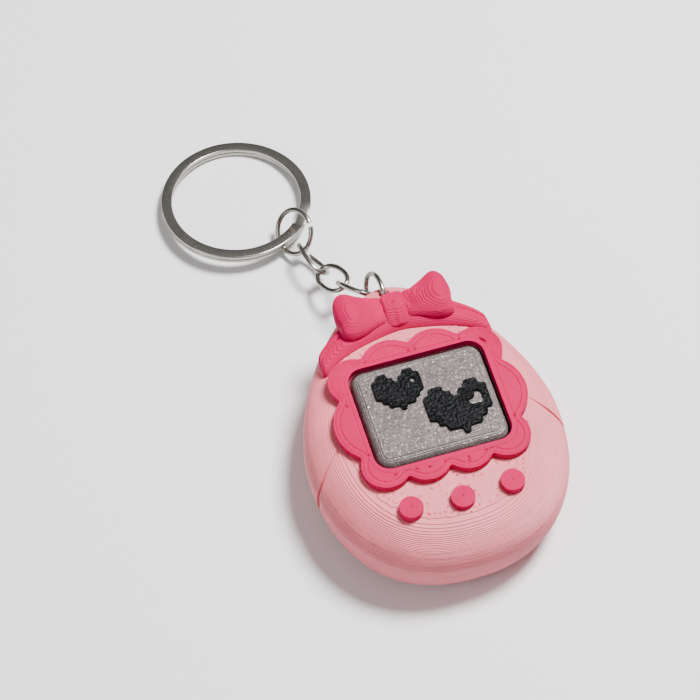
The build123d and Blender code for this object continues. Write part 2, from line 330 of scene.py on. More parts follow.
# ---- materials -----------------------------------------------------------------------------------
class Nodes:
    def __init__(self, name):
        self.material = bpy.data.materials.new(name)
        self.material.use_nodes = True
        self.tree = self.material.node_tree
        self.shader = self.tree.nodes["Principled BSDF"]
        coord = self.tree.nodes.new("ShaderNodeTexCoord")
        self.place = coord.outputs["Object"]

    def node(self, kind, **values):
        made = self.tree.nodes.new(kind)
        for key, value in values.items():
            if key in made.inputs:
                made.inputs[key].default_value = value
            else:
                setattr(made, key, value)
        return made

    def link(self, a, b):
        self.tree.links.new(a, b)

    def noise(self, scale, detail=4.0, rough=0.55, stretch=None):
        n = self.node("ShaderNodeTexNoise", Scale=scale, Detail=detail, Roughness=rough)
        source = self.place
        if stretch:
            mapping = self.node("ShaderNodeMapping")
            mapping.inputs["Scale"].default_value = stretch
            self.link(source, mapping.inputs["Vector"])
            source = mapping.outputs["Vector"]
        self.link(source, n.inputs["Vector"])
        return n.outputs["Fac"]

    def ramp(self, source, *stops):
        r = self.node("ShaderNodeValToRGB")
        while len(r.color_ramp.elements) < len(stops):
            r.color_ramp.elements.new(0.5)
        for element, (position, colour) in zip(r.color_ramp.elements, stops):
            element.position = position
            element.color = colour
        self.link(source, r.inputs["Fac"])
        return r.outputs["Color"]

    def grey(self, source, low, high, start=0.3, end=0.7):
        return self.ramp(source, (start, (low, low, low, 1)), (end, (high, high, high, 1)))

    def mix(self, factor, a, b):
        m = self.node("ShaderNodeMix", data_type="RGBA")
        for socket, value in ((m.inputs[0], factor), (m.inputs[6], a), (m.inputs[7], b)):
            if hasattr(value, "is_output"):
                self.link(value, socket)
            else:
                socket.default_value = value
        return m.outputs[2]

    def bump(self, source, strength, depth, below=None):
        b = self.node("ShaderNodeBump", Strength=strength, Distance=depth)
        self.link(source, b.inputs["Height"])
        if below is not None:
            self.link(below, b.inputs["Normal"])
        return b.outputs["Normal"]

    def set(self, **values):
        for key, value in values.items():
            socket = self.shader.inputs[key.replace("_", " ")]
            if hasattr(value, "is_output"):
                self.link(value, socket)
            else:
                socket.default_value = value


def printed_plastic(name, base, rough=0.42, sub=0.02, spread=0.08, specular=0.25):
    m = Nodes(name)
    broad = m.noise(120, 3)
    fine = m.noise(2600, 3)
    dark = tuple(c * (1 - spread) for c in base) + (1,)
    light = tuple(c * (1 + spread) for c in base) + (1,)
    colour = m.ramp(broad, (0.3, dark), (0.5, tuple(base) + (1,)), (0.72, light))
    speck = m.mix(m.grey(fine, 0.0, 0.3, 0.55, 0.8), colour, light)
    bands = m.noise(900, 2, 0.6, (0.05, 0.05, 1.0))
    faded = tuple(c * 0.84 for c in base) + (1,)
    speck = m.mix(m.grey(bands, 0.0, 0.5, 0.45, 0.62), speck, faded)
    normal = m.bump(bands, 0.25, 0.00002)
    normal = m.bump(fine, 0.3, 0.00002, normal)
    m.set(Base_Color=speck, Roughness=m.grey(broad, rough - 0.06, rough + 0.1), Normal=normal,
          Subsurface_Weight=sub, Subsurface_Scale=0.001, IOR=1.46, Specular_IOR_Level=specular)
    m.shader.inputs["Subsurface Radius"].default_value = (1.0, 0.35, 0.35)
    return m.material


def metal(name, base, rough, grain):
    m = Nodes(name)
    broad = m.noise(300, 4)
    fine = m.noise(3200, 4, 0.6)
    colour = m.ramp(broad, (0.3, tuple(0.86 * c for c in base[:3]) + (1,)), (0.7, base))
    scratch = m.noise(1500, 5, 0.7, (1.0, 0.08, 1.0))
    normal = m.bump(scratch, 0.12, 0.00002)
    normal = m.bump(fine, grain, 0.00002, normal)
    m.set(Base_Color=colour, Metallic=1.0, Roughness=m.grey(fine, rough, rough + 0.12), Normal=normal)
    return m.material


def glitter_screen(name):
    m = Nodes(name)
    cells = m.node("ShaderNodeTexVoronoi", Scale=4200.0)
    m.link(m.place, cells.inputs["Vector"])
    big = m.node("ShaderNodeTexVoronoi", Scale=2100.0)
    m.link(m.place, big.inputs["Vector"])
    split = m.node("ShaderNodeSeparateColor")
    m.link(cells.outputs["Color"], split.inputs["Color"])
    split_big = m.node("ShaderNodeSeparateColor")
    m.link(big.outputs["Color"], split_big.inputs["Color"])
    broad = m.noise(260, 5, 0.65)
    base = m.ramp(broad, (0.3, (0.078, 0.058, 0.057, 1)), (0.5, (0.108, 0.083, 0.081, 1)),
                  (0.7, (0.142, 0.114, 0.111, 1)))
    bright = m.grey(split.outputs["Red"], 0.0, 0.75, 0.90, 0.95)
    dark = m.grey(split_big.outputs["Green"], 0.0, 0.45, 0.72, 0.85)
    strokes = m.node("ShaderNodeTexNoise", Scale=1500.0, Detail=3.0, Distortion=2.5)
    m.link(m.place, strokes.inputs["Vector"])
    colour = m.mix(dark, base, (0.066, 0.048, 0.047, 1))
    colour = m.mix(m.grey(strokes.outputs["Fac"], 0.0, 0.7, 0.5, 0.66), colour, (0.215, 0.185, 0.180, 1))
    colour = m.mix(bright, colour, (0.30, 0.28, 0.27, 1))
    fine = m.noise(2400, 4, 0.7)
    normal = m.bump(fine, 0.4, 0.00004)
    normal = m.bump(split.outputs["Blue"], 0.25, 0.00003, normal)
    m.set(Base_Color=colour, Roughness=m.grey(split.outputs["Green"], 0.25, 0.6), Normal=normal,
          Metallic=m.grey(split.outputs["Red"], 0.0, 0.35, 0.88, 0.94), Specular_IOR_Level=0.3)
    return m.material


def rough_black(name):
    m = Nodes(name)
    fine = m.noise(1800, 5, 0.65)
    colour = m.ramp(fine, (0.35, (0.0018, 0.0020, 0.0026, 1)), (0.6, (0.004, 0.0042, 0.005, 1)),
                    (0.78, (0.012, 0.012, 0.014, 1)))
    normal = m.bump(fine, 0.5, 0.00006)
    m.set(Base_Color=colour, Roughness=m.grey(fine, 0.35, 0.6), Normal=normal, Specular_IOR_Level=0.08)
    return m.material


CASE = printed_plastic("case_print", (0.74, 0.178, 0.220))
TRIM = printed_plastic("trim_print", (0.49, 0.0012, 0.070), specular=0.06)
SCREEN = glitter_screen("screen_print")
HEART = rough_black("heart_print")
DARK = printed_plastic("switch_housing", (0.022, 0.022, 0.026), 0.35, 0.0)
STEM = printed_plastic("switch_stem", (0.30, 0.045, 0.055), 0.3)
NICKEL = metal("nickel", (0.37, 0.35, 0.32, 1), 0.16, 0.1)
STEEL = metal("spring_steel", (0.5, 0.5, 0.5, 1), 0.22, 0.15)
BRASS = metal("contact_metal", (0.72, 0.56, 0.34, 1), 0.22, 0.15)

# ---- case ------------------------------------------------------------------------------------------
CASE_HALF = 24.5
NARROW, BROAD = 34.0, 27.2
HEIGHT, BULGE = 18.8, 10.6
NARROW_POWER, BROAD_POWER, PROFILE = 1.634, 2.30, 2.16
FACE_INSET, BACK_INSET = 8.9, 6.3
WINDOW = (26.4, 21.8, 3.0)
WINDOW_Y = 3.05
PLATE_TOP, PLATE = 9.2, 1.5
CUTOUT, POCKET_MARGIN, POCKET_FLOOR = 14.0, 1.2, 0.8
TRAVEL = 3.6
CASE_POINTS = 256
WELL_POINTS = 120


def egg_inset(z):
    """Inset of the egg's outline at a height."""
    z = np.asarray(z, float)
    up = z > BULGE
    level = np.where(up, (z - BULGE) / (HEIGHT - BULGE), (BULGE - z) / BULGE)
    level = np.clip(level, 0, 1)
    depth = np.where(up, FACE_INSET, BACK_INSET)
    return depth * (1 - (1 - level ** PROFILE) ** (1 / PROFILE))


def egg_plan(t, inset):
    """Plan points of the egg at parameters t, for an inset."""
    c, s = np.cos(t), np.sin(t)
    power = np.where(s > 0, NARROW_POWER, BROAD_POWER)
    length = np.where(s > 0, NARROW, BROAD) - inset
    x = (CASE_HALF - inset) * np.abs(c) ** (2 / power) * np.sign(c)
    y = length * np.abs(s) ** (2 / power) * np.sign(s)
    return np.column_stack([x, y])


def even_parameters(count):
    """Parameters that space the egg's points evenly along its girth."""
    t = np.linspace(0, 2 * math.pi, 20001)
    p = egg_plan(t, 1.5)
    run = np.concatenate([[0], np.cumsum(np.linalg.norm(np.diff(p, axis=0), axis=1))])
    return np.interp(np.linspace(0, run[-1], count, endpoint=False) + 1e-6, run, t)


def egg_height(x, y, grow):
    """Height of the egg's upper surface, moved out by grow, over plan points."""
    x, y = np.abs(x), np.asarray(y, float)
    power = np.where(y > 0, NARROW_POWER, BROAD_POWER)
    length = np.where(y > 0, NARROW, BROAD)
    low, high = np.zeros_like(x), np.ones_like(x)
    for _ in range(34):
        level = (low + high) / 2
        inset = FACE_INSET * (1 - (1 - level ** PROFILE) ** (1 / PROFILE)) - grow * (1 - level ** 4)
        size = (x / (CASE_HALF - inset)) ** power + (np.abs(y) / (length - inset)) ** power
        out = size > 1
        high = np.where(out, level, high)
        low = np.where(out, low, level)
    return BULGE + (HEIGHT - BULGE) * low + grow * low


# plans of the frame, its small pits and the buttons, which the printed face needs too
FRAME_HEIGHT = 1.6
CUSPS = ((0.0, 16.7), (9.45, 15.8), (15.6, 8.4), (15.25, -4.2), (8.05, -10.0), (0.0, -10.0))
LOBES = ((4.7, 18.5), (15.2, 15.4), (18.5, 2.0), (14.4, -10.6), (4.1, -12.1))
PITS = ((-10.5, -9.2), (-6.4, -9.2), (-4, -9.5), (-1, -9.2), (3.4, -9.6), (3.3, -10.3), (6.9, -9.1),
        (9.5, 14.8), (-9, 15), (-0.4, 15.2), (0.9, 15.2), (-12.8, 12), (-14.8, 7), (-14, -4), (14.2, -3.8))
BUTTONS = {"button_left": (-9.7, -16.3), "button_centre": (0.0, -16.9), "button_right": (9.7, -16.3)}
BUTTON_RADIUS, BUTTON_HEIGHT = 2.25, 1.4


def arc(a, b, c, spacing):
    """Points from a to c on the circle through b, without c."""
    a, b, c = (np.array(p, float) for p in (a, b, c))
    d = 2 * (a[0] * (b[1] - c[1]) + b[0] * (c[1] - a[1]) + c[0] * (a[1] - b[1]))
    ux = ((a @ a) * (b[1] - c[1]) + (b @ b) * (c[1] - a[1]) + (c @ c) * (a[1] - b[1])) / d
    uy = ((a @ a) * (c[0] - b[0]) + (b @ b) * (a[0] - c[0]) + (c @ c) * (b[0] - a[0])) / d
    centre = np.array([ux, uy])
    radius = np.linalg.norm(a - centre)
    angles = [math.atan2(*(p - centre)[::-1]) for p in (a, b, c)]
    mid = (angles[1] - angles[0]) % (2 * math.pi)
    end = (angles[2] - angles[0]) % (2 * math.pi)
    if mid > end:
        end -= 2 * math.pi
    count = max(4, int(abs(end) * radius / spacing))
    t = angles[0] + np.linspace(0, end, count, endpoint=False)
    return centre + radius * np.column_stack([np.cos(t), np.sin(t)])


def frame_outline():
    right = np.vstack([arc(a, b, c, 0.05) for a, b, c in zip(CUSPS, LOBES, CUSPS[1:])])
    left = (right * [-1, 1])[::-1]
    loop = np.vstack([right, left])[::-1]
    loop = resample(loop, 0.05)
    return resample(soften(loop, 170), 0.16)


FRAME_OUTLINE = frame_outline()


def layer_shifts(count, amount):
    """A small sideways shift of each printed layer."""
    shift = RNG.normal(0, amount, count)
    return shift + 0.5 * np.roll(shift, 1)


def face_relief(outline):
    """Height of the printed face over plan points: lines, seams and small gaps of the top layer."""
    fine, fine_window = resample(outline, 0.08), resample(FRAME_OUTLINE, 0.08)
    buttons = np.array(list(BUTTONS.values()))
    spots = []
    run = resample(outline, 1.0)
    for p in run[RNG.random(len(run)) < 0.75]:
        spots.append((p * 0.955 + RNG.normal(0, 0.12, 2), 0.26, 0.07))
    for centre in buttons:
        for a in RNG.uniform(0, 2 * math.pi, 9):
            r = BUTTON_RADIUS + RNG.uniform(0.45, 1.15)
            spots.append((centre + r * np.array([math.cos(a), math.sin(a)]), 0.25, 0.07))
    rim = resample(FRAME_OUTLINE, 1.3)
    for p, n in zip(rim, outward(rim)):
        if RNG.random() < 0.6:
            spots.append((p + n * RNG.uniform(0.5, 1.1), 0.3, 0.07))
    spots = [(p, a, b, RNG.uniform(0, math.pi)) for p, a, b in spots]

    def height(p):
        d = distance(p, fine)
        broken = 0.55 + 0.45 * wobble(p, 1.5, 13)
        z = perimeter_lines(d, 3, 0.07) * np.clip(broken, 0.1, 1)
        z = np.where(d > 3 * LINE, raster_lines(p, math.radians(45), 0.03) * np.clip(broken, 0, 1), z)
        near = np.linalg.norm(p[:, None] - buttons[None], axis=2).min(1) - BUTTON_RADIUS
        ring = (near > 0) & (near < 2.4 * LINE)
        z = np.where(ring, perimeter_lines(near, 3, 0.07), z)
        edge = distance(p, fine_window)
        z = np.where(edge < 2.4 * LINE, perimeter_lines(edge, 3, 0.05), z)
        for centre, a, b, turn in spots:
            q = p - centre
            close = np.abs(q).max(1) < 0.9
            along = q[close] @ [math.cos(turn), math.sin(turn)]
            across = q[close] @ [-math.sin(turn), math.cos(turn)]
            z[close] -= 0.45 * np.exp(-(along / a) ** 2 - (across / b) ** 2)
        return HEIGHT + z + 0.012 * wobble(p, 0.7, 12)

    return height


def make_case():
    mesh = Mesh()
    t = even_parameters(CASE_POINTS)
    rings = []
    layers = int(round(HEIGHT / LAYER))
    shifts = layer_shifts(layers, 0.010)
    for k in range(layers):
        z = k * LAYER
        plan = egg_plan(t, float(egg_inset(z + LAYER / 2)))
        normal = outward(plan)
        high = at_height(plan * 0.6, z * 7.3)
        noise = shifts[k] + 0.010 * wobble(high, 2.2, 3) + 0.008 * wobble(high, 0.9, 4)
        noise = np.minimum(noise, 0.02) - 0.02
        if k == layers - 1:
            noise += 0.16 * wobble(plan, 1.1, 14) - 0.1
        for share, dz in ((1.0, 0.012), (0.0, 0.1), (1.0, 0.188)):
            ring = plan + normal * (noise - 0.034 * share)[:, None]
            rings.append(at_height(ring, z + dz))
    rings[0][:, 2] = 0.0
    rings[-1][:, 2] = HEIGHT - 0.02
    index = mesh.rings(rings)
    outline = rings[-1][:, :2] - outward(rings[-1][:, :2]) * 0.06
    edge = mesh.loop(outline, HEIGHT)
    mesh.strip(index[-1], edge)
    # back: rings that shrink to a centre
    back = mesh.rings([at_height(rings[0][:, :2] * f, 0.0) for f in (0.97, 0.5, 0.02)], flip=True)
    mesh.strip(back[0], index[0])
    mesh.fan(back[-1], [0, 0, 0], flip=True)
    # well for the screen, switch cut-out and pocket
    n = WELL_POINTS
    window = resample(rounded_rect(*WINDOW, centre=(0, WINDOW_Y)), count=n)
    levels = [(0.0, HEIGHT), (0.0, PLATE_TOP)]
    levels[1:1] = [(0.03 * (k % 2), HEIGHT - LAYER / 2 * k) for k in range(1, 60)]
    well = mesh.rings([at_height(window + outward(window) * d, z) for d, z in levels])
    cutout = resample(rounded_rect(CUTOUT, CUTOUT, 0.3, (0, WINDOW_Y), 4), count=n)
    wide = CUTOUT + POCKET_MARGIN
    pocket = resample(rounded_rect(wide, wide, 0.4, (0, WINDOW_Y), 4), count=n)
    middle = np.array([0, WINDOW_Y])
    steps = [(cutout, PLATE_TOP), (cutout, PLATE_TOP - PLATE), (pocket, PLATE_TOP - PLATE),
             (pocket, POCKET_FLOOR), ((pocket - middle) * 0.02 + middle, POCKET_FLOOR)]
    inner = mesh.rings([at_height(p, z) for p, z in steps])
    mesh.strip(well[-1], inner[0])
    mesh.fan(inner[-1], [0, WINDOW_Y, POCKET_FLOOR])
    # printed face, fine only where it shows
    grid = scatter(outline, 0.155, 0.12, [FRAME_OUTLINE * 0.97])
    for at in BUTTONS.values():
        grid = grid[np.linalg.norm(grid - at, axis=1) > 2.0]
    coarse = scatter(FRAME_OUTLINE * 0.94, 1.2, 0.5, [window])
    mesh.fill([edge, well[0]], np.vstack([grid, coarse]), face_relief(outline))
    return mesh.build("case", CASE, "case_body", ["case"])


def groove_cutter(side):
    """Thin blade that follows the egg's side along the groove."""
    start = np.array([17.0, 1.1])
    along = np.array([math.cos(math.radians(42.6)), -math.sin(math.radians(42.6))])
    across = np.array([along[1], -along[0]])
    rings = []
    heights = np.concatenate([np.linspace(0.8, 4, 8), np.linspace(4.6, 17, 26), np.linspace(17.2, 18.9, 12)])
    for z in heights:
        inset = float(egg_inset(min(z, HEIGHT - 0.12)))
        lo, hi = 0.0, 20.0
        for _ in range(40):
            mid = (lo + hi) / 2
            q = start + along * mid
            length = (BROAD if q[1] < 0 else NARROW) - inset
            power = BROAD_POWER if q[1] < 0 else NARROW_POWER
            out = (abs(q[0]) / (CASE_HALF - inset)) ** power + (abs(q[1]) / length) ** power > 1
            lo, hi = (lo, mid) if out else (mid, hi)
        taper = 0.22 + 0.16 * (z / HEIGHT < 0.62)
        inner, outer = start + along * (lo - 1.0), start + along * (lo + 1.2)
        corners = [inner + across * taper * 0.8, outer + across * taper * 2.0,
                   outer - across * taper * 2.0, inner - across * taper * 0.8]
        ring = [(side * c[0], c[1], z) for c in corners]
        rings.append(ring if side > 0 else ring[::-1])
    mesh = Mesh()
    index = mesh.rings(np.array(rings))
    mesh.lid(index[0], flip=True)
    mesh.lid(index[-1])
    return mesh


def cut(obj, cutters):
    """Cuts closed meshes out of an object, and applies the result."""
    for k, cutter in enumerate(cutters):
        data = bpy.data.meshes.new(f"cutter_{k}")
        data.from_pydata((np.concatenate(cutter.points) * MM).tolist(), [], cutter.faces)
        data.update()
        helper = bpy.data.objects.new(f"cutter_{k}", data)
        bpy.context.scene.collection.objects.link(helper)
        modifier = obj.modifiers.new("cut", "BOOLEAN")
        modifier.object = helper
        modifier.operation = "DIFFERENCE"
        modifier.solver = "MANIFOLD"
        bpy.context.view_layer.update()
        graph = bpy.context.evaluated_depsgraph_get()
        result = bpy.data.meshes.new_from_object(obj.evaluated_get(graph))
        obj.modifiers.remove(modifier)
        obj.data = result
        bpy.data.objects.remove(helper)
    obj.data.polygons.foreach_set("use_smooth", [True] * len(obj.data.polygons))
    obj.data.set_sharp_from_angle(angle=math.radians(50))


EYE_CENTRE = np.array([-1.35, 32.2, 13.7])
EYE_AXIS = np.array([0.975, 0.063, -0.215])
EYE_RADIUS = 4.4
EYE_TUNNEL = 2.3


def circle_path(centre, axis, radius, count, start=0.0, sweep=360.0, first=None):
    axis = np.asarray(axis, float) / np.linalg.norm(axis)
    u = np.asarray(first if first is not None else [0, 0, 1.0], float)
    u = u - axis * (u @ axis)
    u /= np.linalg.norm(u)
    v = np.cross(axis, u)
    closed = sweep >= 360
    a = np.radians(start + np.linspace(0, sweep, count, endpoint=not closed))
    return np.asarray(centre) + radius * (np.cos(a)[:, None] * u + np.sin(a)[:, None] * v)


case = make_case()
tunnel = Mesh()
tunnel.rings(tube(circle_path(EYE_CENTRE, EYE_AXIS, EYE_RADIUS, 96), EYE_TUNNEL / 2, sides=28), closed=True)
cut(case, [groove_cutter(1), groove_cutter(-1), tunnel])


# ---- screen frame ------------------------------------------------------------------------------------
def make_frame():
    mesh = Mesh()
    outline = FRAME_OUTLINE
    window = resample(rounded_rect(*WINDOW, centre=(0, WINDOW_Y)), 0.17)
    low, top = HEIGHT, HEIGHT + FRAME_HEIGHT
    rings = wall(outline, low, top, 0.035, shake=0.012, seed=21)
    index = mesh.rings(rings)
    edge = mesh.loop(outline - outward(outline) * 0.09, top)
    mesh.strip(index[-1], edge)
    inner_rings = wall(window, low, top, -0.035, shake=0.01, seed=22)
    inner = mesh.rings(inner_rings, flip=True)
    inner_edge = mesh.loop(window + outward(window) * 0.09, top)
    mesh.strip(inner_edge, inner[-1])
    fine_outline, fine_window = resample(outline, 0.06), resample(window, 0.06)
    grid = scatter(outline, 0.125, 0.14, [window])

    def height(p):
        d_out, d_in = distance(p, fine_outline), distance(p, fine_window)
        inset = 3 * LINE
        valley = np.exp(-((d_out - 0.36) / 0.09) ** 2) * 0.12
        valley += np.where(d_in > 2.6 * LINE, np.exp(-((d_out - inset) / 0.09) ** 2), 0) * 0.17
        valley += np.where(d_out > inset, np.exp(-((d_in - 2.2 * LINE) / 0.09) ** 2), 0) * 0.12
        z = -valley + np.where(d_out < inset, perimeter_lines(d_out, 3, 0.015), 0)
        z += np.where((d_out > inset) & (d_in > 2.2 * LINE), raster_lines(p, math.radians(-42), 0.018), 0)
        corner = (np.abs(p[:, 0]) > 9.4) & (p[:, 1] > 8.4) & (d_in > 2.2 * LINE)
        z = np.where(corner, perimeter_lines(d_out, 12, 0.15) * np.clip(1.1 - d_out / 4.5, 0.25, 1), z)
        for k, (x, y) in enumerate(PITS):
            a = 0.5 + 0.9 * math.sin(5.1 * k)
            q = p - [x, y]
            along = q[:, 0] * math.cos(a) + q[:, 1] * math.sin(a)
            across = q[:, 1] * math.cos(a) - q[:, 0] * math.sin(a)
            z -= 0.5 * np.exp(-(along / 0.28) ** 2 - (across / 0.14) ** 2)
        q = p - [13.7, 13.4]
        along, across = q @ [0.62, -0.78], q @ [0.78, 0.62]
        z -= 0.8 * np.exp(-(along / 0.75) ** 4 - (across / 0.13) ** 2)
        return top + z + 0.01 * wobble(p, 0.8, 5)

    mesh.fill([edge, inner_edge], grid, height)
    mesh.fill([index[0], inner[0]], [], None, up=False)
    return mesh.build("screen_frame", TRIM, "case_body", ["screen_frame"], 60)


make_frame()


# ---- buttons -----------------------------------------------------------------------------------------
def make_button(name, place_at, seed):
    mesh = Mesh()
    a = np.linspace(0, 2 * math.pi, 120, endpoint=False)
    ring = np.column_stack([np.cos(a), np.sin(a)]) * BUTTON_RADIUS
    outline = ring * (1 + 0.008 * wobble(ring, 1.2, seed))[:, None] + place_at
    low, top = HEIGHT - 0.6, HEIGHT + BUTTON_HEIGHT
    rings = wall(outline, low, top, 0.03, shake=0.012, seed=seed)
    index = mesh.rings(rings)
    loops = [index[-1]]
    for inset, z in ((0.06, top), (0.12, top + 0.01)):
        loops.append(mesh.loop(outline - outward(outline) * inset, z))
        mesh.strip(loops[-2], loops[-1])
    grid = scatter(outline, 0.09, 0.2)
    pit = np.array(place_at) + [0.05, 0.1]

    def height(p):
        d = BUTTON_RADIUS - np.linalg.norm(p - place_at, axis=1)
        z = perimeter_lines(d, 6, 0.03)
        z -= 0.22 * np.exp(-np.sum((p - pit) ** 2, 1) / 0.14 ** 2)
        return top + z + 0.01 * wobble(p, 0.6, seed)

    mesh.fill([loops[-1]], grid, height)
    mesh.fan(index[0], [*place_at, low], flip=True)
    mesh.build(name, TRIM, "case_body", [name], 60)


for number, (name, place_at) in enumerate(BUTTONS.items()):
    make_button(name, place_at, 31 + number)

# ---- screen and hearts ---------------------------------------------------------------------------------
SCREEN_GAP, SCREEN_TOP, SHOULDER, SCREEN_WALL, SKIN = 0.55, 20.6, 1.9, 1.6, 1.2
SCREEN_LOW = PLATE_TOP + TRAVEL + 0.4
HOUSING_ABOVE, BOSS, BOSS_REACH = 6.6, 5.5, 0.2
HEART_HEIGHT = 0.6
HEART_OUTLINE = (
    ".##...##.",
    "####.####",
    "#########",
    "#########",
    "#########",
    ".#######.",
    "..#####..",
    "....#....",
)


def make_screen():
    mesh = Mesh()
    width, length = WINDOW[0] - 2 * SCREEN_GAP, WINDOW[1] - 2 * SCREEN_GAP
    outline = resample(rounded_rect(width, length, WINDOW[2] - 0.4, (0, WINDOW_Y)), count=300)

    def shoulder(k):
        z = SCREEN_LOW + (k + 0.5) * LAYER
        rise = max(0.0, z - (SCREEN_TOP - SHOULDER))
        return SHOULDER - math.sqrt(max(0.0, SHOULDER ** 2 - rise ** 2))

    rings = wall(outline, SCREEN_LOW, SCREEN_TOP, 0.035, inset=shoulder, shake=0.015, seed=41)
    index = mesh.rings(rings)
    last = rings[-1][:, :2]
    lip = last - outward(last) * 0.05
    edge = mesh.loop(lip, SCREEN_TOP)
    mesh.strip(index[-1], edge)
    grid = scatter(lip, 0.16, 0.12)
    fine = resample(lip, 0.06)

    def height(p):
        d = distance(p, fine)
        z = perimeter_lines(d, 2, 0.05)
        z = np.where(d > 2 * LINE, raster_lines(p, math.radians(45), 0.03), z)
        return SCREEN_TOP - 0.03 + z + 0.022 * wobble(p, 0.45, 6) + 0.015 * RNG.normal(size=len(p))

    mesh.fill([edge], grid, height)
    inside_plan = rounded_rect(width - 2 * SCREEN_WALL, length - 2 * SCREEN_WALL, 1.2, (0, WINDOW_Y))
    inside_plan = resample(inside_plan, count=300)
    ceiling = SCREEN_TOP - SKIN
    inner = mesh.rings([at_height(inside_plan, z) for z in np.linspace(SCREEN_LOW, ceiling, 9)], flip=True)
    mesh.strip(inner[0], index[0])
    a = np.linspace(0, 2 * math.pi, 72, endpoint=False)
    round_plan = np.column_stack([np.cos(a), np.sin(a)]) * BOSS / 2 + [0, WINDOW_Y]
    boss_low = PLATE_TOP + HOUSING_ABOVE - BOSS_REACH
    boss = mesh.rings([at_height(round_plan, z) for z in (boss_low, ceiling)])
    mesh.fill([inner[-1], boss[-1]], [], None, up=False)
    arm, reach = 0.6, 2.0
    cross = np.array([(arm, reach), (-arm, reach), (-arm, arm), (-reach, arm), (-reach, -arm), (-arm, -arm),
                      (-arm, -reach), (arm, -reach), (arm, -arm), (reach, -arm), (reach, arm), (arm, arm)])
    slot = mesh.rings([at_height(cross + [0, WINDOW_Y], z) for z in (boss_low, ceiling)], flip=True)
    mesh.fill([boss[0], slot[0]], [], None, up=False)
    mesh.fill([slot[-1]], [], None, up=False)
    mesh.build("screen_cap", SCREEN, "screen_body", ["screen_cap"], 60)


def cell_loops(cell, left, top, holes):
    """Outline loops of a shape made from square cells, outer ones counter-clockwise."""
    marks = {(r, c) for r, line in enumerate(HEART_OUTLINE) for c, m in enumerate(line) if m == "#"}
    marks -= set(holes)
    follow = {}
    for r, c in marks:
        x0, x1, y0, y1 = c, c + 1, -r - 1, -r
        sides = (((x0, y0), (x1, y0), (r + 1, c)), ((x1, y0), (x1, y1), (r, c + 1)),
                 ((x1, y1), (x0, y1), (r - 1, c)), ((x0, y1), (x0, y0), (r, c - 1)))
        for a, b, beside in sides:
            if beside not in marks:
                follow.setdefault(a, []).append(b)
    loops = []
    while follow:
        start = min(follow)
        loop, here = [start], follow[start].pop()
        while here != start:
            loop.append(here)
            here = follow[here].pop()
        follow = {k: v for k, v in follow.items() if v}
        loops.append(np.array(loop, float) * cell + [left, top])
    return loops


def round_corners(loop, radius, steps=5):
    points = []
    n = len(loop)
    for i in range(n):
        before, here, after = loop[i - 1], loop[i], loop[(i + 1) % n]
        a, b = before - here, after - here
        a, b = a / np.linalg.norm(a), b / np.linalg.norm(b)
        if abs(a @ b) > 0.99:
            points.append(here)
            continue
        centre = here + (a + b) * radius
        for k in range(steps + 1):
            w = k / steps * math.pi / 2
            points.append(centre - b * radius * math.cos(w) - a * radius * math.sin(w))
    return np.array(points)


def make_heart(name, cell, left, top, holes, seed):
    mesh = Mesh()
    ends, lows = [], []
    plans = []
    high = SCREEN_TOP + HEART_HEIGHT
    for loop in cell_loops(cell, left, top, holes):
        plan = resample(round_corners(loop, 0.46 * cell), 0.11)
        plan = plan + 0.03 * np.column_stack([wobble(plan, 0.6, seed), wobble(plan, 0.6, seed + 1)])
        rings = wall(plan, SCREEN_TOP, high, 0.03)
        index = mesh.rings(rings)
        lip = plan - outward(plan) * 0.08
        edge = mesh.loop(lip, high)
        mesh.strip(index[-1], edge)
        ends.append(edge)
        lows.append(index[0])
        plans.append(lip)
    plans_in_order = sorted(range(len(plans)), key=lambda i: -np.ptp(plans[i][:, 0]))
    outer = plans[plans_in_order[0]]
    grid = scatter(outer, 0.12, 0.11, [plans[i] for i in plans_in_order[1:]])
    fine = resample(outer, 0.06)
    low, span = outer.min(0), np.ptp(outer, axis=0)
    count = int(span[0] * span[1] * 6)
    bumps = low + RNG.random((count, 2)) * span
    sizes, heights = RNG.uniform(0.12, 0.24, count), RNG.choice([-0.1, 0.1], count)

    def height(p):
        z = perimeter_lines(distance(p, fine), 1, 0.05)
        for bump, size, high_by in zip(bumps, sizes, heights):
            z += high_by * np.exp(-((p - bump) ** 2).sum(1) / size ** 2)
        return high - 0.1 + np.clip(z, -0.2, 0.1)

    mesh.fill([ends[i] for i in plans_in_order], grid, height)
    mesh.fill([lows[i] for i in plans_in_order], [], None, up=False)
    mesh.build(name, HEART, "screen_body", [name], 60)


make_screen()
make_heart("heart_small", 1.02, -9.2, 11.1, ((2, 7),), 51)
make_heart("heart_large", 1.345, -1.0, 5.7, ((2, 7), (3, 7), (3, 6)), 53)


# ---- bow and headband ------------------------------------------------------------------------------------
def terrace(z, sharp=0.5):
    """Height stepped into layers, with soft risers."""
    f = z / LAYER
    k = np.floor(f)
    r = np.clip((f - k - 0.5 + sharp / 2) / sharp, 0, 1)
    return LAYER * (k + r * r * (3 - 2 * r))


def blend_curve(a, b, c, d, f):
    """Smooth curve from b to c at share f, between neighbours a and d."""
    square = (2 * a - 5 * b + 4 * c - d) * f ** 2
    cube = (3 * b - a - 3 * c + d) * f ** 3
    return 0.5 * (2 * b + (c - a) * f + square + cube)


def spline_loop(points, count=720):
    """Smooth closed curve through plan points."""
    p = np.asarray(points, float)
    n = len(p)
    t = np.linspace(0, n, count, endpoint=False)
    i = t.astype(int)
    f = (t - i)[:, None]
    a, b, c, d = (p[(i + k) % n] for k in (-1, 0, 1, 2))
    return blend_curve(a, b, c, d, f)


